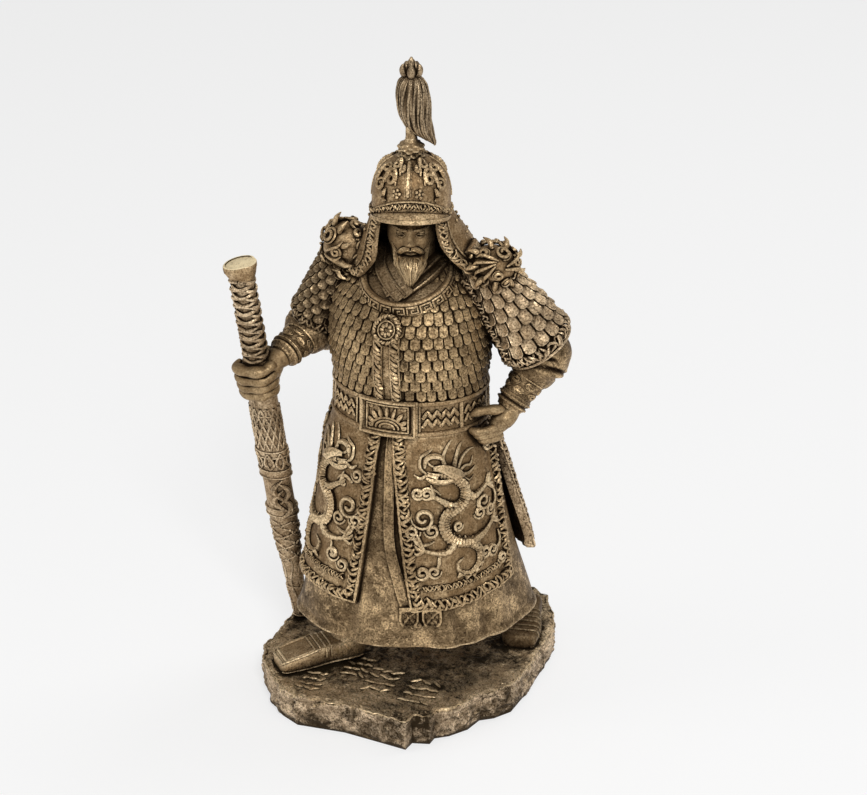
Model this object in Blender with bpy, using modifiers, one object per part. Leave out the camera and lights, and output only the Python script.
"""Cast figurine of an armoured admiral on a rock base, one hand on the hip, the other on a standing sword.

Three solids: the rock base, the figure cast in one, and the sword in its scabbard.
The figure faces -Y, its left hand is towards +X, and the origin is on the underside of the rock
straight below the figure's axis. Angles round the figure start at the front and grow towards +X.
"""

import math
import random

import bmesh
import bpy
from mathutils import Matrix, Vector

MM = 0.001
GAP = 0.35 * MM  # between two separate pieces that touch
SKIN_GRAIN = 0.65 * MM  # grain of the skin that fuses the cast figure
FIGURE_FACETS = 8400

# rock base
BASE_HEIGHT = 15 * MM
BASE_CHIP = 1.1 * MM
BASE_EDGE_DROP = 0.9 * MM
BASE_FACET = 7 * MM
STROKE_LENGTH = 9 * MM
STROKE_WIDTH = 1.2 * MM
STROKE_PITCH = 3.4 * MM
STROKE_HEIGHT = 0.7 * MM
STROKE_GROUPS = 4
STROKES_START = Vector((-30 * MM, -42 * MM, 0))
STROKES_END = Vector((22 * MM, -39 * MM, 0))
STROKES_BOW = 9 * MM

# robe and armour skirt
HEM_HEIGHT = 41 * MM
HEM_WALL = 2.2 * MM
HEM_RECESS = 6 * MM
BELT_BOTTOM = 136 * MM
BELT_HEIGHT = 16 * MM
BELT_THICKNESS = 1.6 * MM
WAIST_HALF_WIDTH = 33 * MM
WAIST_HALF_DEPTH = 28 * MM
HEM_HALF_WIDTH = 49 * MM
HEM_HALF_DEPTH = 44.5 * MM
STRIDE_TURN = math.radians(14)
STRIDE_SHIFT = 0.9 * MM
KNEE_BULGE = 2.2 * MM
TRAIL_BULGE = 3.6 * MM
PANEL_BOTTOM = 65 * MM
PANEL_THICKNESS = 1.9 * MM
PANEL_LIFT = 0.7 * MM
TRIM_WIDTH = 1.6 * MM
RELIEF = 1.8 * MM

# torso
SHOULDER_HEIGHT = 205 * MM
BELT_TOP = BELT_BOTTOM + BELT_HEIGHT
CHEST_HEIGHT = SHOULDER_HEIGHT - BELT_TOP
SCALE_ROWS = 9
SCALE_COLUMNS = 26
SCALE_LIFT = 1.0 * MM
COLLAR_RADIUS = 20.6 * MM
COLLAR_CENTRE = Vector((1.5 * MM, -7 * MM, SHOULDER_HEIGHT - 6 * MM))
COLLAR_TILT = math.radians(28)

# head and helmet, turned towards the left shoulder
HEAD_TURN = math.radians(18)
HEAD_CENTRE = Vector((1.8 * MM, -4.5 * MM, SHOULDER_HEIGHT + 16 * MM))
HEAD_RADIUS = 11.5 * MM
HELMET_RIM = HEAD_CENTRE.z + 10 * MM
HELMET_RADIUS = 16.2 * MM
HELMET_HEIGHT = 22.5 * MM
PLUME_LENGTH = 28 * MM
PLUME_RADIUS = 7.2 * MM
CROWN_HEIGHT = 8 * MM

# sword, standing on the rock and leaning towards the front
SWORD_FOOT = Vector((-57.7 * MM, 11 * MM, BASE_HEIGHT + GAP))
SWORD_HEAD = Vector((-65.3 * MM, -31 * MM, SHOULDER_HEIGHT + 2 * MM))
SCABBARD_WIDTH = 7.0 * MM
SCABBARD_DEPTH = 4.8 * MM
SCABBARD_TIP = 3.2 * MM
GRIP_RADIUS = 5.2 * MM
POMMEL_RADIUS = 7.6 * MM
HAND_SHARE = 0.695
MOUTH_SHARE = 0.745
GRASP = SWORD_FOOT.lerp(SWORD_HEAD, HAND_SHARE)

# arms
SHOULDER_LEFT = Vector((31 * MM, 2 * MM, SHOULDER_HEIGHT))
ELBOW_LEFT = Vector((56 * MM, 13 * MM, SHOULDER_HEIGHT - 40 * MM))
WRIST_LEFT = Vector((44.5 * MM, 0, BELT_BOTTOM + 7.5 * MM))
SHOULDER_RIGHT = Vector((-27 * MM, 1 * MM, SHOULDER_HEIGHT + 1 * MM))
ELBOW_RIGHT = Vector((-45 * MM, 4 * MM, SHOULDER_HEIGHT - 38 * MM))
WRIST_RIGHT = GRASP + Vector((10 * MM, 2.2 * MM, 10.9 * MM))
SLEEVE_TOP_RADIUS = 10.5 * MM
SLEEVE_HEM_LEFT = 16 * MM
SLEEVE_HEM_RIGHT = 12.3 * MM
SLEEVE_SHARE = 0.86
FOREARM_RADIUS = 10 * MM
WRIST_RADIUS = 6.0 * MM
SLEEVE_ROWS = 6
SLEEVE_COLUMNS = 14
FINGER_RADIUS = 2.5 * MM
BEAST_RADIUS = 9.2 * MM

# boots
BOOT_WIDTH = 17 * MM
BOOT_HEIGHT = 10.5 * MM
BOOT_RIGHT_TOE = Vector((-50 * MM, -35.5 * MM, 0))
BOOT_RIGHT_HEEL = Vector((-20 * MM, -8 * MM, 0))
BOOT_LEFT_TOE = Vector((45 * MM, 18 * MM, 0))
BOOT_LEFT_HEEL = Vector((39 * MM, 50 * MM, 0))

BRONZE = (0.30, 0.19, 0.09, 1.0)
WORN_BRONZE = (0.52, 0.37, 0.19, 1.0)


def clear_scene():
    for item in list(bpy.data.objects):
        bpy.data.objects.remove(item)


def material(name, colour, roughness):
    made = bpy.data.materials.new(name)
    made.use_nodes = True
    shader = made.node_tree.nodes["Principled BSDF"]
    shader.inputs["Base Color"].default_value = colour
    shader.inputs["Roughness"].default_value = roughness
    shader.inputs["Metallic"].default_value = 0.6
    return made


def collection(name):
    made = bpy.data.collections.new(name)
    bpy.context.scene.collection.children.link(made)
    return made


def link_mesh(name, bm, home):
    """A bmesh made an object of its own, with its faces turned outwards."""
    bmesh.ops.recalc_face_normals(bm, faces=bm.faces)
    mesh = bpy.data.meshes.new(name)
    bm.to_mesh(mesh)
    bm.free()
    made = bpy.data.objects.new(name, mesh)
    home.objects.link(made)
    return made


def lerp(a, b, share):
    return a + (b - a) * share


def smooth(share):
    share = max(0.0, min(1.0, share))
    return share * share * (3 - 2 * share)


def between(stations, height):
    """Values at a height, eased between stations that each start with their own height."""
    if height <= stations[0][0]:
        return stations[0][1:]
    for low, high in zip(stations, stations[1:]):
        if height <= high[0]:
            share = (height - low[0]) / (high[0] - low[0])
            return [lerp(a, b, share) for a, b in zip(low[1:], high[1:])]
    return stations[-1][1:]


def loft(name, rings, home):
    """A closed skin through rings that have the same number of points, with flat ends."""
    bm = bmesh.new()
    loops = [[bm.verts.new(point) for point in ring] for ring in rings]
    count = len(loops[0])
    for low, high in zip(loops, loops[1:]):
        for i in range(count):
            j = (i + 1) % count
            bm.faces.new((low[i], low[j], high[j], high[i]))
    bm.faces.new(loops[0])
    bm.faces.new(loops[-1])
    bmesh.ops.triangulate(bm, faces=[f for f in bm.faces if len(f.verts) > 4])
    return link_mesh(name, bm, home)


def slab(name, outer, inner, home):
    """A closed plate between two grids of points, such as a panel's outside and its inside."""
    bm = bmesh.new()
    sheets = [[[bm.verts.new(p) for p in row] for row in grid] for grid in (outer, inner)]
    rows, columns = len(outer), len(outer[0])
    for sheet in sheets:
        for i in range(rows - 1):
            for j in range(columns - 1):
                bm.faces.new((sheet[i][j], sheet[i][j + 1], sheet[i + 1][j + 1], sheet[i + 1][j]))
    border = [(0, j) for j in range(columns)] + [(i, columns - 1) for i in range(1, rows)]
    border += [(rows - 1, j) for j in range(columns - 2, -1, -1)] + [(i, 0) for i in range(rows - 2, 0, -1)]
    for (a, b), (c, d) in zip(border, border[1:] + border[:1]):
        bm.faces.new((sheets[0][a][b], sheets[0][c][d], sheets[1][c][d], sheets[1][a][b]))
    return link_mesh(name, bm, home)


def strand(name, points, radii, home, sides=4):
    """A tube along points with its own radius at each, made a mesh so that it can be joined."""
    curve = bpy.data.curves.new(name, "CURVE")
    curve.dimensions = "3D"
    curve.bevel_depth = 1.0 * MM
    curve.bevel_resolution = (sides - 4) // 2
    curve.use_fill_caps = True
    line = curve.splines.new("POLY")
    line.points.add(len(points) - 1)
    for item, point, radius in zip(line.points, points, radii):
        item.co = (*point, 1)
        item.radius = radius / curve.bevel_depth
    guide = bpy.data.objects.new(name, curve)
    home.objects.link(guide)
    bpy.context.view_layer.update()
    graph = bpy.context.evaluated_depsgraph_get()
    mesh = bpy.data.meshes.new_from_object(guide.evaluated_get(graph))
    bpy.data.objects.remove(guide)
    bm = bmesh.new()
    bm.from_mesh(mesh)
    bmesh.ops.remove_doubles(bm, verts=bm.verts, dist=0.001 * MM)
    bpy.data.meshes.remove(mesh)
    return link_mesh(name, bm, home)


def ball(name, centre, radii, home, segments=10, turn=0.0):
    """An ellipsoid turned about the upright axis."""
    bm = bmesh.new()
    bmesh.ops.create_uvsphere(bm, u_segments=segments, v_segments=max(5, segments // 2 + 1), radius=1)
    place = Matrix.Translation(centre) @ Matrix.Rotation(turn, 4, "Z") @ Matrix.Diagonal((*radii, 1))
    bmesh.ops.transform(bm, matrix=place, verts=bm.verts)
    return link_mesh(name, bm, home)


def turned(name, profile, home, steps=20):
    """A solid turned about its own upright axis, from a profile of (radius, height) that runs down."""
    mesh = bpy.data.meshes.new(name)
    points = [(radius, 0, height) for radius, height in profile]
    mesh.from_pydata(points, [(i, i + 1) for i in range(len(points) - 1)], [])
    made = bpy.data.objects.new(name, mesh)
    home.objects.link(made)
    screw = made.modifiers.new("turn", "SCREW")
    screw.steps = steps
    screw.render_steps = steps
    screw.use_merge_vertices = True
    screw.merge_threshold = 0.01 * MM
    return made


def frame_along(axis, hint=Vector((0, 0, 1))):
    """Two unit vectors square to an axis, the second as near to the hint as it can be."""
    axis = axis.normalized()
    across = axis.cross(hint).normalized()
    return across, across.cross(axis).normalized()


def ring_at(centre, across, up, width, depth, count):
    angles = [2 * math.pi * i / count for i in range(count)]
    return [centre + across * (width * math.cos(a)) + up * (depth * math.sin(a)) for a in angles]


# Each station is a height, then half width, half depth and the section's centre in Y.
TORSO_STATIONS = (
    (BELT_BOTTOM, WAIST_HALF_WIDTH, WAIST_HALF_DEPTH, 0),
    (BELT_TOP, 32.6 * MM, 27.6 * MM, 0),
    (BELT_TOP + CHEST_HEIGHT * 0.264, 34.0 * MM, 29.4 * MM, -0.6 * MM),
    (BELT_TOP + CHEST_HEIGHT * 0.528, 34.0 * MM, 28.4 * MM, -0.8 * MM),
    (BELT_TOP + CHEST_HEIGHT * 0.717, 32.4 * MM, 24.4 * MM, 0),
    (BELT_TOP + CHEST_HEIGHT * 0.849, 29.0 * MM, 19.0 * MM, 1 * MM),
    (SHOULDER_HEIGHT, 24.0 * MM, 13.0 * MM, 3 * MM),
    (SHOULDER_HEIGHT + 6 * MM, 15.0 * MM, 9.0 * MM, 4 * MM),
)
SKIRT_STATIONS = (
    (HEM_HEIGHT, HEM_HALF_WIDTH, HEM_HALF_DEPTH, 1.5 * MM),
    (HEM_HEIGHT + 11 * MM, 46.6 * MM, 43.2 * MM, 1 * MM),
    (PANEL_BOTTOM, 44.4 * MM, 41.4 * MM, 0.5 * MM),
    (BELT_BOTTOM - 44 * MM, 40.2 * MM, 37.4 * MM, 0),
    (BELT_BOTTOM - 24 * MM, 37.4 * MM, 34.0 * MM, 0),
    (BELT_BOTTOM - 11 * MM, 35.2 * MM, 31.0 * MM, 0),
    (BELT_BOTTOM, WAIST_HALF_WIDTH - 1.6 * MM, WAIST_HALF_DEPTH - 1.2 * MM, 0),
    (BELT_BOTTOM + 6 * MM, WAIST_HALF_WIDTH - 2 * MM, WAIST_HALF_DEPTH - 2 * MM, 0),
)


def torso_point(angle, height, lift=0.0):
    width, depth, centre = between(TORSO_STATIONS, height)
    return Vector(((width + lift) * math.sin(angle), centre - (depth + lift) * math.cos(angle), height))


def drape(angle, fall):
    """How far the cloth stands out or in at an angle, from none at the waist to most at the hem."""
    angle = math.remainder(angle, 2 * math.pi)
    waves = (math.cos(7 * angle + 0.6) * 0.9 + math.cos(11 * angle - 1.1) * 0.6) * MM
    knee = KNEE_BULGE * math.exp(-(((angle + 0.85) / 0.5) ** 2))
    trail = TRAIL_BULGE * math.exp(-(((angle - 1.75) / 0.6) ** 2))
    return (waves + knee + trail) * smooth(fall)


def skirt_point(angle, height, lift=0.0):
    """A point on the robe below the belt. The hem is turned so that it follows the stride."""
    width, depth, centre = between(SKIRT_STATIONS, height)
    fall = (BELT_BOTTOM - height) / (BELT_BOTTOM - HEM_HEIGHT)
    out = lift + drape(angle, fall * fall)
    turn = STRIDE_TURN * smooth(fall)
    point = Vector(((width + out) * math.sin(angle - turn), -(depth + out) * math.cos(angle - turn), 0))
    return Matrix.Rotation(turn, 3, "Z") @ point + Vector((STRIDE_SHIFT * smooth(fall * 3), centre, height))


def hem_rise(angle):
    """The hem is lowest in front and rises towards the back foot."""
    return (1.6 - 1.6 * math.cos(angle - 0.35)) * MM


def make_robe(home):
    """The long robe: a flaring skirt with a shallow recess under its hem."""
    count = 40
    angles = [i * 2 * math.pi / count for i in range(count)]

    def ring(height, lift=0.0, rise=0.0):
        return [skirt_point(a, height, lift) + Vector((0, 0, rise * hem_rise(a))) for a in angles]

    rings = [
        ring(HEM_HEIGHT + HEM_RECESS, -HEM_WALL * 2.4, 1),
        ring(HEM_HEIGHT + 0.4 * MM, -HEM_WALL, 1),
        ring(HEM_HEIGHT, -0.3 * MM, 1),
        ring(HEM_HEIGHT + 2.5 * MM, 0, 0.9),
    ]
    rings += [ring(lerp(HEM_HEIGHT, BELT_BOTTOM, share)) for share in (0.13, 0.24, 0.41, 0.6, 0.79, 0.92)]
    rings.append(ring(BELT_BOTTOM + 4 * MM))
    return loft("figure", rings, home)


def panel_angle(side, share, height):
    """Where a front panel's columns lie: its inner edge opens towards the hem."""
    fall = (BELT_BOTTOM - height) / (BELT_BOTTOM - PANEL_BOTTOM)
    if side > 0:
        return math.radians(lerp(lerp(4, 18, fall), lerp(90, 84, fall), share))
    return math.radians(lerp(lerp(-5, -12, fall), lerp(-88, -92, fall), share))


def panel_point(side, share, drop, lift):
    """A point on a front panel: share runs from its inner edge outwards, drop from belt to lower edge."""
    height = lerp(BELT_BOTTOM, PANEL_BOTTOM, drop)
    return skirt_point(panel_angle(side, share, height), height, PANEL_LIFT + PANEL_THICKNESS + lift)


def back_point(side, share, drop, lift):
    """A point on a back panel, whose front corner springs away from the robe."""
    height = lerp(BELT_BOTTOM, PANEL_BOTTOM + 1.5 * MM, drop)
    angle = math.radians(lerp(lerp(98, 112, drop), 177, share)) * side
    spring = 5.6 * MM * smooth(drop) * (1 - smooth(share * 2.2))
    return skirt_point(angle, height, PANEL_LIFT + PANEL_THICKNESS + spring + lift)


def make_panel(name, surface, side, columns, rows, home):
    """One hanging panel of the armour skirt, a curved plate that reaches into the robe behind it."""
    def sheet(lift):
        return [
            [surface(side, j / (columns - 1), i / (rows - 1), lift) for j in range(columns)]
            for i in range(rows)
        ]

    return slab(name, sheet(0), sheet(-PANEL_THICKNESS - 1.6 * MM), home)


def trim_route(surface, side, bites, lift):
    """A line down one edge of a panel, along the lower edge and up the other side."""
    inset = 0.045
    corners = [(inset, 0.03), (inset, 1 - inset), (1 - inset, 1 - inset), (1 - inset, 0.03)]
    route = []
    for (s0, d0), (s1, d1), part in zip(corners, corners[1:], bites):
        for i in range(part):
            share = i / part
            route.append(surface(side, lerp(s0, s1, share), lerp(d0, d1, share), lift))
    return route


def rope(count, radius):
    """Radii that swell and shrink along a twisted trim."""
    return [radius * (1.12 if i % 2 else 0.78) for i in range(count)]


def make_trim(name, surface, side, bites, home):
    route = trim_route(surface, side, bites, 0)
    return strand(name, route, rope(len(route), TRIM_WIDTH), home)


def spiral(surface, side, share, drop, size, turns, lift):
    """A cloud scroll on a panel, wound in from its outer end."""
    steps = int(7 * turns)
    route = []
    for i in range(steps + 1):
        angle = 2 * math.pi * turns * i / steps
        radius = size * (1 - 0.8 * i / steps)
        aside, down = radius * math.cos(angle), radius * 1.05 * math.sin(angle)
        route.append(surface(side, share + aside, drop + down, lift))
    return route


# The dragon's line on a panel as (share across, drop), head first, with its thickness as a share.
DRAGON_BODY = (
    (0.46, 0.20, 0.9), (0.56, 0.24, 1.0), (0.60, 0.33, 1.05), (0.52, 0.42, 1.1), (0.41, 0.49, 1.15),
    (0.39, 0.57, 1.15), (0.46, 0.65, 1.1), (0.60, 0.67, 1.0), (0.69, 0.74, 0.85), (0.62, 0.83, 0.65),
    (0.50, 0.84, 0.45), (0.47, 0.78, 0.25),
)
DRAGON_LEGS = (
    ((0.56, 0.38), (0.68, 0.31), (0.78, 0.27)),
    ((0.44, 0.45), (0.33, 0.41), (0.24, 0.38)),
    ((0.52, 0.66), (0.38, 0.72), (0.26, 0.70)),
    ((0.66, 0.70), (0.76, 0.66), (0.84, 0.62)),
)
CLOUDS = (
    (0.20, 0.55, 0.075), (0.17, 0.84, 0.06), (0.80, 0.44, 0.065), (0.82, 0.84, 0.06), (0.80, 0.15, 0.06),
)


def make_dragon(side, home):
    """A dragon among clouds in low relief, with its head near the belt and facing the opening."""
    label = "left" if side > 0 else "right"
    body = [panel_point(side, s, d, 0.1 * MM) for s, d, _ in DRAGON_BODY]
    strand(f"dragon_body_{label}", body, [RELIEF * w for _, _, w in DRAGON_BODY], home, 6)
    jaws = ((0.50, 0.175, 0.30, 0.135, 1.15), (0.46, 0.21, 0.28, 0.235, 0.8), (0.50, 0.13, 0.42, 0.07, 0.5),
            (0.58, 0.15, 0.62, 0.05, 0.5), (0.34, 0.13, 0.22, 0.08, 0.45))
    for number, (s0, d0, s1, d1, thick) in enumerate(jaws):
        route = [panel_point(side, lerp(s0, s1, k / 2), lerp(d0, d1, k / 2), 0.3 * MM) for k in range(3)]
        radii = [RELIEF * thick, RELIEF * thick * 0.9, RELIEF * thick * 0.4]
        strand(f"dragon_head_{label}_{number}", route, radii, home)
    for number, leg in enumerate(DRAGON_LEGS):
        route = [panel_point(side, s, d, 0) for s, d in leg]
        strand(f"dragon_leg_{label}_{number}", route, [RELIEF * w for w in (0.75, 0.6, 0.7)], home)
    for number, (s, d, size) in enumerate(CLOUDS):
        route = spiral(panel_point, side, s, d, size, 1.15, 0.0)
        strand(f"cloud_{label}_{number}", route, [RELIEF * 0.5] * len(route), home)


def make_belt(home):
    """The wide belt with a rim at its upper and lower edge, and the framed buckle plate in front."""
    count = 36
    rings = []
    for share, lift in ((0, 0), (0, 1), (0.16, 1), (0.17, 0.45), (0.83, 0.45), (0.84, 1), (1, 1), (1, 0)):
        height = BELT_BOTTOM + BELT_HEIGHT * share
        rings.append([
            torso_point(i * 2 * math.pi / count, height, BELT_THICKNESS * lift - (0 if lift else 2 * MM))
            for i in range(count)
        ])
    loft("belt", rings, home)

    half_angle = math.radians(21)

    def plate(lift, shrink):
        return [
            [
                torso_point(
                    lerp(-half_angle, half_angle, j / 6) * shrink,
                    BELT_BOTTOM + BELT_HEIGHT * lerp(0.5, i / 2, shrink),
                    BELT_THICKNESS + lift,
                )
                for j in range(7)
            ]
            for i in range(3)
        ]

    slab("buckle", plate(1.0 * MM, 1.03), plate(-2.2 * MM, 1.03), home)
    slab("buckle_boss", plate(1.9 * MM, 0.45), plate(0.2 * MM, 0.45), home)


def make_torso(home):
    """The scale coat: rows of overlapping plates, each row lifted at its lower edge."""
    bottom, top = BELT_BOTTOM + 4 * MM, SHOULDER_HEIGHT
    first = BELT_TOP + 1.0 * MM
    count = SCALE_COLUMNS * 2
    step = 2 * math.pi / count
    pitch = (top - 2 * MM - first) / SCALE_ROWS

    def ring(height, lifted, row):
        points = []
        for i in range(count):
            centre = (i + row) % 2 == 0
            lift = SCALE_LIFT if centre and lifted else 0.0
            dip = -0.9 * MM if centre and lifted else 0.0
            points.append(torso_point(i * step, height + dip, lift))
        return points

    rings = [ring(bottom, False, 0), ring(first - 0.3 * MM, False, 0)]
    for row in range(SCALE_ROWS):
        low = first + row * pitch
        rings += [ring(low + 1.2 * MM, True, row), ring(low + pitch - 0.2 * MM, False, row)]
    rings.append(ring(top, False, 0))
    rings.append(ring(top + 5 * MM, False, 0))
    return loft("torso", rings, home)


def make_placket(home):
    """Two trimmed edges down the chest, with a round clasp at their top."""
    for side in (-1, 1):
        route = []
        for i in range(13):
            height = lerp(BELT_TOP, SHOULDER_HEIGHT - 22 * MM, i / 12)
            route.append(torso_point(side * 0.085, height, 0.9 * MM))
        strand(f"placket_{'left' if side > 0 else 'right'}", route, rope(len(route), 1.5 * MM), home)
    clasp = turned("clasp", [(0, 2.2 * MM), (3.0 * MM, 2.0 * MM), (5.2 * MM, 0.6 * MM), (5.2 * MM, -2.5 * MM),
                             (0, -2.5 * MM)], home, 12)
    clasp.location = torso_point(0, SHOULDER_HEIGHT - 20 * MM, 1.2 * MM)
    clasp.rotation_euler = (math.radians(75), 0, 0)


def make_collar(home):
    """The round collar band, a cone that leans forward, and the crossed robe collar inside it."""
    back = Vector((0, math.cos(COLLAR_TILT), math.sin(COLLAR_TILT)))
    normal = Vector((0, -math.sin(COLLAR_TILT), math.cos(COLLAR_TILT)))
    count = 28
    rings = []
    for inset, rise in ((5, -7), (1, -6), (0, 0), (0.4, 0.8), (2.0, 4.0), (2.7, 4.6), (4.2, 4.2), (8.5, 2.0)):
        size = COLLAR_RADIUS - inset * MM
        rings.append([
            COLLAR_CENTRE
            + Vector((1, 0, 0)) * (size * 1.04 * math.sin(i * 2 * math.pi / count))
            - back * (size * math.cos(i * 2 * math.pi / count))
            + normal * (rise * MM)
            for i in range(count)
        ])
    loft("collar", rings, home)
    for side, rise in ((-1, 0.0), (1, 0.8)):
        route = [
            COLLAR_CENTRE + Vector((side * 10.5 * MM, 0, 7 * MM)),
            COLLAR_CENTRE + Vector((side * 6.0 * MM, -9.5 * MM, (3.0 + rise) * MM)),
            COLLAR_CENTRE + Vector((-side * 1.5 * MM, -16.0 * MM, (-2.5 + rise) * MM)),
        ]
        strand(f"robe_collar_{'left' if side > 0 else 'right'}", route, [2.6 * MM, 2.6 * MM, 2.0 * MM], home)


def head_point(across, forward, up):
    """A point in the head's own directions, turned as the head is."""
    turned_to = Matrix.Rotation(HEAD_TURN, 3, "Z")
    return HEAD_CENTRE + turned_to @ Vector((across, -forward, up))


def make_head(home):
    """Face with brow, nose, cheeks and beard, and the neck below it."""
    r = HEAD_RADIUS
    ball("skull", head_point(0, 0.2 * r, 0), (0.93 * r, 1.02 * r, 1.28 * r), home, 14, HEAD_TURN)
    nape = Vector((0, 0, SHOULDER_HEIGHT - 7 * MM))
    strand("neck", [nape, head_point(0, 0, -0.4 * r)], [10.5 * MM, 8.5 * MM], home, 8)
    strand("nose", [head_point(0, 1.08 * r, 0.30 * r), head_point(0, 1.36 * r, -0.16 * r),
                    head_point(0, 1.16 * r, -0.25 * r)], [0.10 * r, 0.17 * r, 0.14 * r], home)
    strand("brow", [head_point(-0.62 * r, 0.92 * r, 0.36 * r), head_point(-0.2 * r, 1.16 * r, 0.34 * r),
                    head_point(0.2 * r, 1.16 * r, 0.34 * r), head_point(0.62 * r, 0.92 * r, 0.36 * r)],
           [0.10 * r, 0.15 * r, 0.15 * r, 0.10 * r], home)
    for side in (-1, 1):
        label = "left" if side > 0 else "right"
        ball(f"cheek_{label}", head_point(side * 0.46 * r, 0.92 * r, -0.12 * r), (0.26 * r,) * 3, home, 8)
        bends = ((0, 1.22, -0.40), (0.34, 1.15, -0.47), (0.62, 0.98, -0.80))
        route = [head_point(side * aside * r, out * r, up * r) for aside, out, up in bends]
        strand(f"moustache_{label}", route, [0.13 * r, 0.15 * r, 0.05 * r], home)
    sections = ((-0.62, 0.74, 0.56, 0.62), (-0.95, 0.82, 0.52, 0.50), (-1.30, 0.98, 0.37, 0.36),
                (-1.62, 1.10, 0.20, 0.22), (-1.85, 1.14, 0.05, 0.06))
    rings = []
    for up, forward, width, depth in sections:
        rings.append([
            head_point(width * r * math.cos(a), forward * r + depth * r * math.sin(a) * 0.8, up * r)
            for a in (i * math.pi / 5 for i in range(10))
        ])
    loft("beard", rings, home)


def make_helmet(home):
    """Helmet bowl with a raised rib, a trimmed brow band, a peak, and a finial with its horsehair plume."""
    axis = Vector((HEAD_CENTRE.x, HEAD_CENTRE.y, HELMET_RIM))
    bowl = turned("helmet_bowl", [
        (0, HELMET_HEIGHT), (6.5 * MM, HELMET_HEIGHT), (0.80 * HELMET_RADIUS, 0.84 * HELMET_HEIGHT),
        (0.97 * HELMET_RADIUS, 0.60 * HELMET_HEIGHT), (1.01 * HELMET_RADIUS, 0.28 * HELMET_HEIGHT),
        (HELMET_RADIUS, -0.5 * MM), (0, -0.5 * MM)], home, 22)
    bowl.location = axis

    def rim(angle, out, up):
        radius = HELMET_RADIUS + out
        return head_point(radius * math.sin(angle), radius * math.cos(angle), HELMET_RIM - HEAD_CENTRE.z + up)

    band = [rim(math.radians(a), 0.1 * MM, (5.2 * math.cos(math.radians(a * 0.9)) - 1.0) * MM)
            for a in range(-90, 91, 9)]
    strand("brow_band", band, [1.3 * MM + (i % 2) * 0.35 * MM for i in range(len(band))], home)
    peak_angles = [math.radians(a) for a in range(-68, 69, 17)]
    upper, lower = [], []
    for share in (0.0, 0.5, 1.0):
        reach = [7.5 * MM * share * math.cos(a * 1.25) for a in peak_angles]
        drop = [(-4.2 * share + 3.4 * (1 - share) * math.cos(a)) * MM for a in peak_angles]
        upper.append([rim(a, out - 0.8 * MM, up) for a, out, up in zip(peak_angles, reach, drop)])
        lower.append([rim(a, out - 1.6 * MM, up - 1.5 * MM) for a, out, up in zip(peak_angles, reach, drop)])
    slab("peak", upper, lower, home)
    rib_angles = [math.radians(a) for a in range(20, 81, 12)]
    out, high = HELMET_RADIUS + 0.2 * MM, HELMET_HEIGHT - 0.5 * MM
    rib = [head_point(0, out * math.cos(a), 10 * MM + high * math.sin(a)) for a in rib_angles]
    strand("rib", rib, [1.1 * MM] * len(rib), home)
    for side in (-1, 1):
        for number, (turn, up) in enumerate(((32, 10), (48, 13.5), (58, 7), (74, 11), (28, 15))):
            spot = rim(math.radians(turn * side), -0.9 * MM - max(0, up - 9) * 0.42 * MM, up * MM)
            ball(f"helmet_scroll_{'left' if side > 0 else 'right'}_{number}", spot, (1.9 * MM,) * 3, home, 6)
    top = HELMET_RIM + HELMET_HEIGHT
    profile = [(0, 6), (3.6, 5.6), (5.3, 3.4), (4.6, 1.2), (5.2, -1.5), (0, -1.5)]
    knob = turned("plume_socket", [(radius * MM, height * MM) for radius, height in profile], home, 12)
    knob.location = Vector((axis.x, axis.y, top))
    return Vector((axis.x, axis.y, top))


def make_plume(root, home):
    """A horsehair tassel hung from the finial's flower, swept round its stem towards the left."""
    foot = root + Vector((0, 0, 4 * MM))
    crown = foot + Vector((0, 0, PLUME_LENGTH))
    strand("plume_stem", [foot, crown], [2.6 * MM, 2.4 * MM], home, 6)
    count = 14
    rings = []
    across = Vector((math.cos(HEAD_TURN), math.sin(HEAD_TURN), 0))
    ahead = Vector((math.sin(HEAD_TURN), -math.cos(HEAD_TURN), 0))
    sections = (
        (0, 0.55, 0, 1), (0.12, 0.98, -0.2, 1), (0.34, 1.06, -0.1, 0.95), (0.58, 0.88, 1.6, 0.9),
        (0.80, 0.76, 3.4, 0.8), (0.97, 0.70, 5.8, 0.6),
    )
    for share, radius, sweep, flat in sections:
        middle = crown - Vector((0, 0, PLUME_LENGTH * share)) + across * (sweep * MM)
        ring = []
        for i in range(count):
            angle = i * 2 * math.pi / count + share * 1.1
            size = PLUME_RADIUS * radius * (1.0 if i % 2 else 0.88)
            ring.append(middle + across * (size * math.cos(angle)) + ahead * (size * flat * math.sin(angle))
                        + Vector((0, 0, -1.2 * MM * share * math.cos(angle))))
        rings.append(ring)
    loft("plume", rings, home)
    ball("plume_collar", crown + Vector((0, 0, 0.5 * MM)), (3.4 * MM, 3.4 * MM, 2.2 * MM), home, 8)
    for number in range(5):
        angle = math.radians(72 * number - 90) + HEAD_TURN
        out = Vector((math.cos(angle), math.sin(angle), 0))
        petal = [crown + out * (1.2 * MM), crown + out * (4.4 * MM) + Vector((0, 0, 3.4 * MM)),
                 crown + out * (4.6 * MM) + Vector((0, 0, 6.2 * MM))]
        strand(f"plume_petal_{number}", petal, [1.7 * MM, 1.6 * MM, 0.6 * MM], home)
    strand("plume_bud", [crown, crown + Vector((0, 0, CROWN_HEIGHT))], [2.0 * MM, 0.5 * MM], home, 6)


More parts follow.
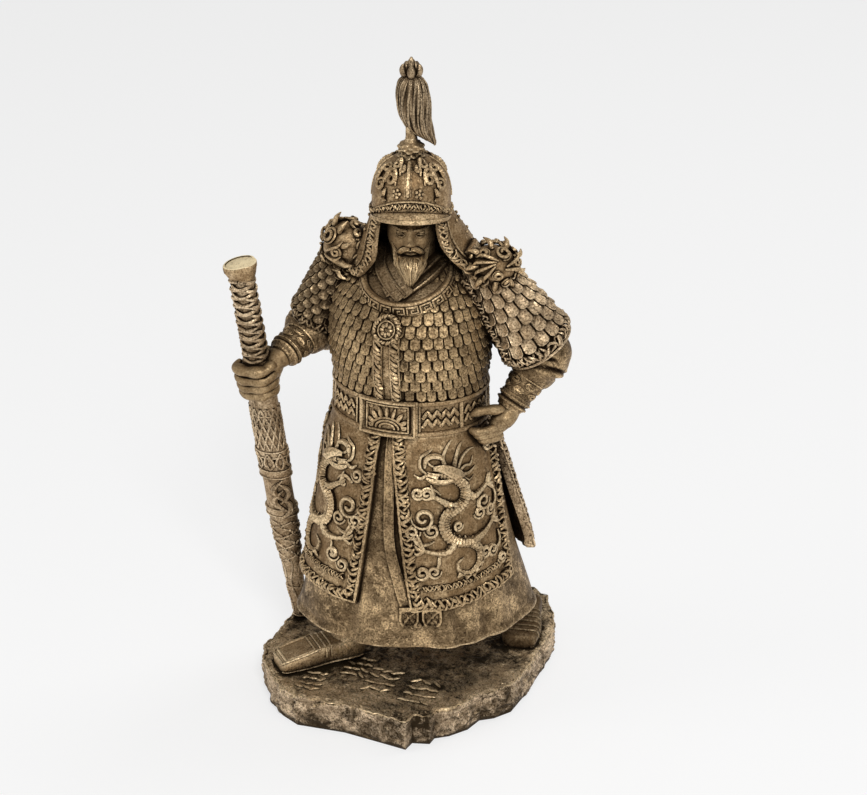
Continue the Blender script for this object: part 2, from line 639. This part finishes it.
def guard_point(share, drop, lift):
    """A point on the helmet's neck guard, open in front: share runs from its left edge round the back."""
    opening = math.radians(lerp(46, 40, drop))
    angle = lerp(opening, 2 * math.pi - opening, share)
    side = abs(math.sin(angle))
    left = 2.6 * max(0.0, math.sin(angle)) * math.sin(math.pi * drop)
    spread = (lerp(0.6, 8.5 + 7.5 * side, smooth(drop) * 0.4 + drop * 0.6) + left) * MM
    radius = HELMET_RADIUS - 0.8 * MM + spread + lift
    height = lerp(HELMET_RIM + 1 * MM, SHOULDER_HEIGHT - 2 * MM - 3 * MM * side, drop)
    turn = Matrix.Rotation(HEAD_TURN * (1 - 0.55 * drop), 3, "Z")
    point = turn @ Vector((radius * math.sin(angle), -radius * math.cos(angle) * 0.94, 0))
    return Vector((HEAD_CENTRE.x, HEAD_CENTRE.y * (1 - 0.6 * drop), height)) + point


def make_neck_guard(home):
    """The quilted guard that hangs from the helmet on to the shoulders, with trim along its edges."""
    rows, columns = 7, 17

    def sheet(lift):
        return [
            [guard_point(j / (columns - 1), i / (rows - 1), lift) for j in range(columns)]
            for i in range(rows)
        ]

    slab("neck_guard", sheet(0), sheet(-3.0 * MM), home)
    for label, start in (("left", 0.012), ("right", 0.988)):
        route = [guard_point(start, lerp(0.08, 0.97, i / 11), 0.3 * MM) for i in range(12)]
        inward = 1 if start < 0.5 else -1
        route += [guard_point(start + inward * 0.034 * i, 0.97, 0.3 * MM) for i in range(1, 9)]
        strand(f"guard_trim_{label}", route, rope(len(route), 1.9 * MM), home)
    nape = [guard_point(0.5 + 0.3 * math.cos(i * math.pi / 8), 0.55, -2.6 * MM) for i in range(9)]
    strand("nape", nape, [4.5 * MM] * len(nape), home, 6)


def arm_frame(start, end):
    axis = (end - start).normalized()
    across, up = frame_along(axis, Vector((0, 0.2, 1)))
    return axis, across, up


def make_sleeve(label, shoulder, elbow, hem_radius, home):
    """A sleeve of scales: rings along the upper arm, each row lifted at its lower edge."""
    axis, across, up = arm_frame(shoulder, elbow)
    length = (elbow - shoulder).length * SLEEVE_SHARE
    count = SLEEVE_COLUMNS * 2
    pitch = (length - 7 * MM) / SLEEVE_ROWS

    def ring(along, radius, row, lifted):
        centre = shoulder + axis * along
        points = []
        for i in range(count):
            peak = (i + row) % 2 == 0 and lifted
            size = radius + (SCALE_LIFT if peak else 0)
            spot = ring_at(centre, across, up, size * 1.04, size * 0.94, count)[i]
            points.append(spot + axis * (0.9 * MM if peak else 0))
        return points

    def radius_at(along):
        share = max(0.0, min(1.0, along / length))
        return lerp(SLEEVE_TOP_RADIUS, hem_radius, smooth(share ** 0.8))

    rings = [ring(-6 * MM, SLEEVE_TOP_RADIUS * 0.62, 0, False)]
    rings.append(ring(-1 * MM, SLEEVE_TOP_RADIUS * 0.97, 0, False))
    for row in range(SLEEVE_ROWS):
        start = 6 * MM + row * pitch
        rings.append(ring(start, radius_at(start) - 0.3 * MM, row, False))
        rings.append(ring(start + pitch - 0.7 * MM, radius_at(start + pitch) + 0.2 * MM, row, True))
    rings.append(ring(length, hem_radius - 1.4 * MM, 0, False))
    loft(f"sleeve_{label}", rings, home)
    hem = shoulder + axis * (length - 0.4 * MM)
    route = ring_at(hem, across, up, hem_radius + 0.4 * MM, hem_radius * 0.92, 22)
    route.append(route[0])
    strand(f"sleeve_trim_{label}", route, rope(len(route), 1.9 * MM), home)


def make_shoulder_beast(label, centre, outward, home):
    """The beast head on the shoulder: brow, muzzle, ears and curled mane as rounded masses."""
    across, up = frame_along(outward, Vector((0, 0, 1)))
    size = BEAST_RADIUS
    turn = math.atan2(outward.y, outward.x)
    ball(f"beast_{label}", centre, (size, size * 1.2, size * 0.85), home, 10, turn)
    masses = (
        (0.0, 0.85, -0.1, 0.42), (0.45, 0.55, 0.42, 0.27), (-0.45, 0.55, 0.42, 0.27), (1.0, 0.1, 0.3, 0.33),
        (-1.0, 0.1, 0.3, 0.33), (0.85, 0.35, -0.35, 0.3), (-0.85, 0.35, -0.35, 0.3), (0.0, 0.25, 0.75, 0.28),
    )
    for number, (aside, out, rise, radius) in enumerate(masses):
        spot = centre + (across * aside + outward * out + up * rise) * size
        ball(f"beast_{label}_{number}", spot, (radius * size,) * 3, home, 6)


def make_forearm(label, elbow, wrist, home):
    """Loose sleeve at the elbow, then the bound forearm guard and its two bands at the wrist."""
    axis, across, up = arm_frame(elbow, wrist)
    length = (wrist - elbow).length
    rings = []
    for share, size in ((-0.36, 0.55), (-0.24, 0.98), (0.02, 1.18), (0.30, 1.06), (0.48, 0.90), (0.50, 0.80),
                        (0.80, 0.70), (0.82, 0.80), (0.89, 0.80), (0.90, 0.68), (0.94, 0.76), (1.0, 0.76),
                        (1.01, 0.60)):
        size = FOREARM_RADIUS * size if share < 0.9 else WRIST_RADIUS * size / 0.72
        rings.append(ring_at(elbow + axis * (length * share), across, up, size, size * 0.93, 12))
    loft(f"forearm_{label}", rings, home)


def make_upper_arm(label, shoulder, elbow, home):
    axis = (elbow - shoulder).normalized()
    strand(f"upper_arm_{label}", [shoulder + axis * 20 * MM, elbow + axis * 1.5 * MM],
           [FOREARM_RADIUS * 0.9, FOREARM_RADIUS * 1.12], home, 8)


def sword_axis():
    return (SWORD_HEAD - SWORD_FOOT).normalized()


def sword_at(share):
    return SWORD_FOOT.lerp(SWORD_HEAD, share)


def make_sword_hand(home):
    """A fist round the scabbard: four fingers and a thumb as arcs, and the palm on the wrist's side."""
    axis = sword_axis()
    middle = sword_at(HAND_SHARE)
    to_wrist = WRIST_RIGHT - middle
    to_wrist = (to_wrist - axis * to_wrist.dot(axis)).normalized()
    side = axis.cross(to_wrist).normalized()
    wrap = SCABBARD_WIDTH + FINGER_RADIUS + 0.3 * MM

    def around(degrees, along, radius):
        turn = math.radians(degrees)
        return middle + axis * along + (to_wrist * math.cos(turn) + side * math.sin(turn)) * radius

    for number in range(4):
        along = (1.5 - number) * FINGER_RADIUS * 1.85
        reach = wrap + (0.5 - 0.35 * abs(1 - number)) * MM
        route = [around(a, along, reach) for a in range(-20, 261, 40)]
        radii = [FINGER_RADIUS * w for w in (1.1, 1.05, 1.1, 1.05, 1.08, 1.0, 0.95, 0.7)]
        strand(f"finger_right_{number}", route, radii, home, 6)
    bends = ((-10, 2.1), (-50, 3.4), (-90, 3.4), (-125, 2.8))
    route = [around(a, FINGER_RADIUS * along, wrap) for a, along in bends]
    strand("thumb_right", route, [FINGER_RADIUS * w for w in (1.35, 1.3, 1.15, 0.8)], home, 6)
    palm = middle + to_wrist * (wrap + 0.4 * MM)
    ball("palm_right", palm + axis * 2 * MM, (4.4 * MM, 6.2 * MM, 8 * MM), home, 10,
         math.atan2(to_wrist.y, to_wrist.x))
    strand("wrist_right", [palm + axis * 3 * MM, WRIST_RIGHT + (WRIST_RIGHT - palm).normalized() * 2 * MM],
           [5.4 * MM, WRIST_RADIUS * 0.95], home, 8)


def make_hip_hand(home):
    """The left hand closed on the hip, with its thumb along the belt and its fingers curled below."""
    knuckles = WRIST_LEFT + Vector((-2.5 * MM, -5.0 * MM, -6.5 * MM))
    ball("palm_left", knuckles, (4.6 * MM, 6.0 * MM, 6.6 * MM), home, 10, math.radians(-40))
    strand("wrist_left", [knuckles, WRIST_LEFT], [5.2 * MM, WRIST_RADIUS * 0.95], home, 8)
    bends = ((0, -1, 4.5), (-5, -5, 5.8), (-11, -7, 5.5))
    thumb = [knuckles + Vector((x * MM, y * MM, z * MM)) for x, y, z in bends]
    strand("thumb_left", thumb, [FINGER_RADIUS * w for w in (1.1, 0.95, 0.75)], home, 6)
    for number in range(3):
        drop = -1.5 - number * 3.6
        tuck = number * 0.8
        bends = ((0.5, -1.5, drop + 1), (-4.5 + tuck, -7.5 + tuck, drop), (-10.5 + 2 * tuck, -9 + tuck, drop))
        route = [knuckles + Vector((x * MM, y * MM, z * MM)) for x, y, z in bends]
        strand(f"finger_left_{number}", route, [FINGER_RADIUS * w for w in (0.95, 0.9, 0.75)], home, 6)


def make_boot(label, toe, heel, home):
    """A broad-toed boot on a flat sole, with a shaft that runs up into the robe."""
    ahead = (toe - heel).normalized()
    across = Vector((ahead.y, -ahead.x, 0))
    floor = BASE_HEIGHT + GAP
    length = (toe - heel).length
    rings = []
    for share, width, height in ((0, 0.62, 1.0), (0.1, 0.84, 1.15), (0.45, 0.86, 1.05), (0.72, 1.0, 0.8),
                                 (0.93, 0.92, 0.62), (1.0, 0.7, 0.45)):
        middle = heel + ahead * (length * share)
        half = BOOT_WIDTH / 2 * width
        tall = BOOT_HEIGHT * height
        outline = ((-1, 0), (1, 0), (1.04, 0.3), (0.7, 0.85), (0, 1.0), (-0.7, 0.85), (-1.04, 0.3))
        rings.append([middle + across * (half * a) + Vector((0, 0, floor + tall * b)) for a, b in outline])
    loft(f"boot_{label}", rings, home)
    ankle = heel.lerp(toe, 0.24)
    top = Vector((ankle.x * 0.82, ankle.y * 0.82, HEM_HEIGHT + 12 * MM))
    low = ankle + Vector((0, 0, floor + 5.0 * MM))
    strand(f"leg_{label}", [low, low.lerp(top, 0.4), top], [6.4 * MM, 6.6 * MM, 8 * MM], home, 8)


def make_robe_front(home):
    """The robe's overlapping front edges between the panels, ending in two square tabs."""
    for number, (low, high, out) in enumerate(((10, 1, 1.4), (27, 3, 2.0))):
        outer, inner = [], []
        for i in range(8):
            height = lerp(BELT_BOTTOM, HEM_HEIGHT + 12 * MM, i / 7)
            angle = math.radians(lerp(high, low, (i / 7) ** 1.5))
            outer.append([skirt_point(angle + a, height, out * MM) for a in (-0.10, 0.10)])
            inner.append([skirt_point(angle + a, height, -2 * MM) for a in (-0.10, 0.10)])
        slab(f"robe_edge_{number}", outer, inner, home)
    for number, degrees in enumerate((21, 31)):
        angle = math.radians(degrees)
        heights, sides = (HEM_HEIGHT + 19 * MM, HEM_HEIGHT + 11 * MM), (angle - 0.055, angle + 0.055)
        sheets = [[[skirt_point(a, h, lift * MM) for a in sides] for h in heights] for lift in (2.4, -1)]
        slab(f"robe_tab_{number}", *sheets, home)


def sword_ring(share, width, depth, count=9):
    axis = sword_axis()
    across, up = frame_along(axis, Vector((1, 0, 0)))
    return ring_at(sword_at(share), across, up, depth, width, count)


def make_sword(home, grow=0.0, name="sword"):
    """Sword in its scabbard: flared pommel, wrapped grip, guard bands and scabbard fittings."""
    length = (SWORD_HEAD - SWORD_FOOT).length
    plain = grow > 0
    profile = [
        (0.0, 0.9), (0.012, 1.05), (0.10, 1.05), (0.105, 0.94),
        (0.315, 0.94), (0.32, 1.04), (0.335, 1.04), (0.34, 0.94),
        (0.425, 0.94), (0.43, 1.04), (0.445, 1.04), (0.45, 0.94),
        (0.48, 0.94), (0.485, 1.04), (0.50, 1.04), (0.505, 0.95),
        (0.62, 0.95), (MOUTH_SHARE - 0.01, 0.95), (MOUTH_SHARE - 0.005, 0.82),
    ]
    rings = []
    for share, size in profile:
        taper = lerp(SCABBARD_TIP / SCABBARD_WIDTH, 1.0, smooth(share / 0.32))
        width = (1.0 if plain else size) * SCABBARD_WIDTH * taper + grow
        rings.append(sword_ring(share, width, width * SCABBARD_DEPTH / SCABBARD_WIDTH))
    if not plain:
        turns = 6
        for i in range(turns * 2 + 1):
            share = lerp(MOUTH_SHARE + 0.005, 0.955, i / (turns * 2))
            size = GRIP_RADIUS * (1.04 if i % 2 else 0.94)
            rings.append(sword_ring(share, size, size * 0.84))
        for share, size in ((0.962, 0.66), (0.985, 1.0), (1.0, 1.0)):
            rings.append(sword_ring(share, POMMEL_RADIUS * size, POMMEL_RADIUS * size * 0.74))
    else:
        foot = rings[0]
        rings.insert(0, [p - sword_axis() * (grow + 0.02 * length) for p in foot])
        rings.append([p + sword_axis() * (0.2 * length) for p in rings[-1]])
    return loft(name, rings, home)


def cut_sword_foot(sword, home):
    """The scabbard's end is cut level, so that it stands on the rock."""
    cutter = box("sword_floor", SWORD_FOOT + Vector((0, 0, -5 * MM)), (40 * MM, 40 * MM, 10 * MM), home)
    cut = sword.modifiers.new("level foot", "BOOLEAN")
    cut.operation = "DIFFERENCE"
    cut.object = cutter


def box(name, centre, size, home):
    bm = bmesh.new()
    bmesh.ops.create_cube(bm, size=1)
    bmesh.ops.transform(bm, matrix=Matrix.Translation(centre) @ Matrix.Diagonal((*size, 1)), verts=bm.verts)
    return link_mesh(name, bm, home)


# Corners of the rock's top edge in millimetres, from the left foot's side round the front to the back.
BASE_CORNERS = (
    (54, 44), (54.5, 30), (54, 4), (52.5, -12), (47, -20), (41.5, -24), (39, -33), (33, -41), (27.5, -45),
    (27, -50), (19.5, -52), (18.5, -58), (-12, -54), (-34, -55), (-43, -50), (-52, -40), (-60, -28),
    (-63.5, -16), (-63, -4), (-62.5, 18), (-57, 34), (-43, 52), (-22, 66), (4, 74), (34, 74.5), (42, 69),
    (47, 59),
)


def base_outline():
    """The rock's edge as evenly spaced points, so that its long straight breaks can be chipped too."""
    points = []
    corners = [Vector((x * MM, y * MM, 0)) for x, y in BASE_CORNERS]
    for start, end in zip(corners, corners[1:] + corners[:1]):
        steps = max(1, round((end - start).length / BASE_FACET))
        points += [start.lerp(end, i / steps) for i in range(steps)]
    return points


def make_base(home):
    """The rock base: a rough-edged block with a flat underside and a level top for the boots."""
    rough = random.Random(7)
    outline = base_outline()
    middle = sum(outline, Vector()) / len(outline)
    chips = [rough.uniform(-1, 0.4) for _ in outline]
    rings = []
    levels = ((0, -0.4, 0.3), (0.08, 0.4, 0.9), (0.5, 0.7, 1.4), (0.84, 1.2, 0.9), (1.0, 0.4, 0.6))
    for share, size, jag in levels:
        ring = []
        for point, chip in zip(outline, chips):
            out = (point - middle).normalized()
            wobble = chip * jag + (rough.uniform(-0.6, 0.3) if 0 < share < 1 else 0)
            drop = BASE_EDGE_DROP * (0.6 - 0.4 * chip) if share == 1.0 else 0
            reach = size * MM + wobble * BASE_CHIP
            ring.append(point + out * reach + Vector((0, 0, BASE_HEIGHT * share - drop)))
        rings.append(ring)
    level = [(p - middle).to_2d().to_3d() * 0.975 + middle + Vector((0, 0, BASE_HEIGHT)) for p in rings[-1]]
    return loft("rock_base", rings + [level], home)


def make_strokes(home):
    """Rows of short raised strokes along the front of the rock, in place of an inscription."""
    for group in range(STROKE_GROUPS):
        share = group / (STROKE_GROUPS - 1)
        bow = STROKES_BOW * share * (1 - share)
        middle = STROKES_START.lerp(STROKES_END, share) + Vector((0, bow, BASE_HEIGHT))
        for number in range(3):
            spot = middle + Vector((0, (number - 1) * STROKE_PITCH, 0))
            length = STROKE_LENGTH * (0.75 if number == 1 else 1.0)
            box(f"stroke_{group}_{number}", spot, (length, STROKE_WIDTH, 2 * STROKE_HEIGHT), home)


def fuse(body, forms):
    """Joins a collection of overlapping shapes to one body."""
    union = body.modifiers.new("join the forms", "BOOLEAN")
    union.operation = "UNION"
    union.operand_type = "COLLECTION"
    union.collection = forms
    union.solver = "EXACT"


def simplify(body, facets):
    """Makes the joined forms one even skin, then keeps only as many facets as the shape needs."""
    skin = body.modifiers.new("one skin", "REMESH")
    skin.mode = "VOXEL"
    skin.voxel_size = SKIN_GRAIN
    bpy.context.view_layer.update()
    graph = bpy.context.evaluated_depsgraph_get()
    fine = sum(len(face.vertices) - 2 for face in body.evaluated_get(graph).data.polygons)
    fewer = body.modifiers.new("fewer facets", "DECIMATE")
    fewer.ratio = min(1.0, facets / fine)


def hide_helpers(*homes):
    for home in homes:
        for item in home.objects:
            item.hide_render = True
            item.display_type = "WIRE"


def main():
    clear_scene()
    parts = collection("admiral_figurine")
    forms = collection("figure_forms")
    marks = collection("base_marks")
    cutters = collection("cutters")
    bronze = material("antique_bronze", BRONZE, 0.5)
    worn = material("worn_bronze", WORN_BRONZE, 0.45)

    figure = make_robe(parts)
    make_robe_front(forms)
    for side, label in ((1, "left"), (-1, "right")):
        make_panel(f"panel_{label}", panel_point, side, 9, 8, forms)
        make_trim(f"panel_trim_{label}", panel_point, side, (22, 18, 22), forms)
        make_dragon(side, forms)
        make_panel(f"back_panel_{label}", back_point, side, 8, 6, forms)
        make_trim(f"back_trim_{label}", back_point, side, (12, 10, 12), forms)
    make_belt(forms)
    make_torso(forms)
    make_placket(forms)
    make_collar(forms)
    make_head(forms)
    root = make_helmet(forms)
    make_plume(root, forms)
    make_neck_guard(forms)
    arms = (
        ("left", SHOULDER_LEFT, ELBOW_LEFT, WRIST_LEFT, SLEEVE_HEM_LEFT),
        ("right", SHOULDER_RIGHT, ELBOW_RIGHT, WRIST_RIGHT, SLEEVE_HEM_RIGHT),
    )
    for label, shoulder, elbow, wrist, hem in arms:
        make_sleeve(label, shoulder, elbow, hem, forms)
        make_upper_arm(label, shoulder, elbow, forms)
        make_forearm(label, elbow, wrist, forms)
    for side, label, shoulder in ((1, "left", SHOULDER_LEFT), (-1, "right", SHOULDER_RIGHT)):
        outward = Vector((side * 0.72, -0.45, 0.5)).normalized()
        make_shoulder_beast(label, shoulder + Vector((side * 2 * MM, -4 * MM, 6.5 * MM)), outward, forms)
    make_sword_hand(forms)
    make_hip_hand(forms)
    make_boot("right", BOOT_RIGHT_TOE, BOOT_RIGHT_HEEL, forms)
    make_boot("left", BOOT_LEFT_TOE, BOOT_LEFT_HEEL, forms)
    fuse(figure, forms)
    simplify(figure, FIGURE_FACETS)

    sword = make_sword(parts)
    cut_sword_foot(sword, cutters)
    room = make_sword(cutters, GAP, "sword_room")
    cut = figure.modifiers.new("room for the sword", "BOOLEAN")
    cut.operation = "DIFFERENCE"
    cut.object = room

    rock = make_base(parts)
    make_strokes(marks)
    fuse(rock, marks)

    for item, finish in ((figure, bronze), (sword, worn), (rock, bronze)):
        item.data.materials.append(finish)
    hide_helpers(forms, marks, cutters)


main()
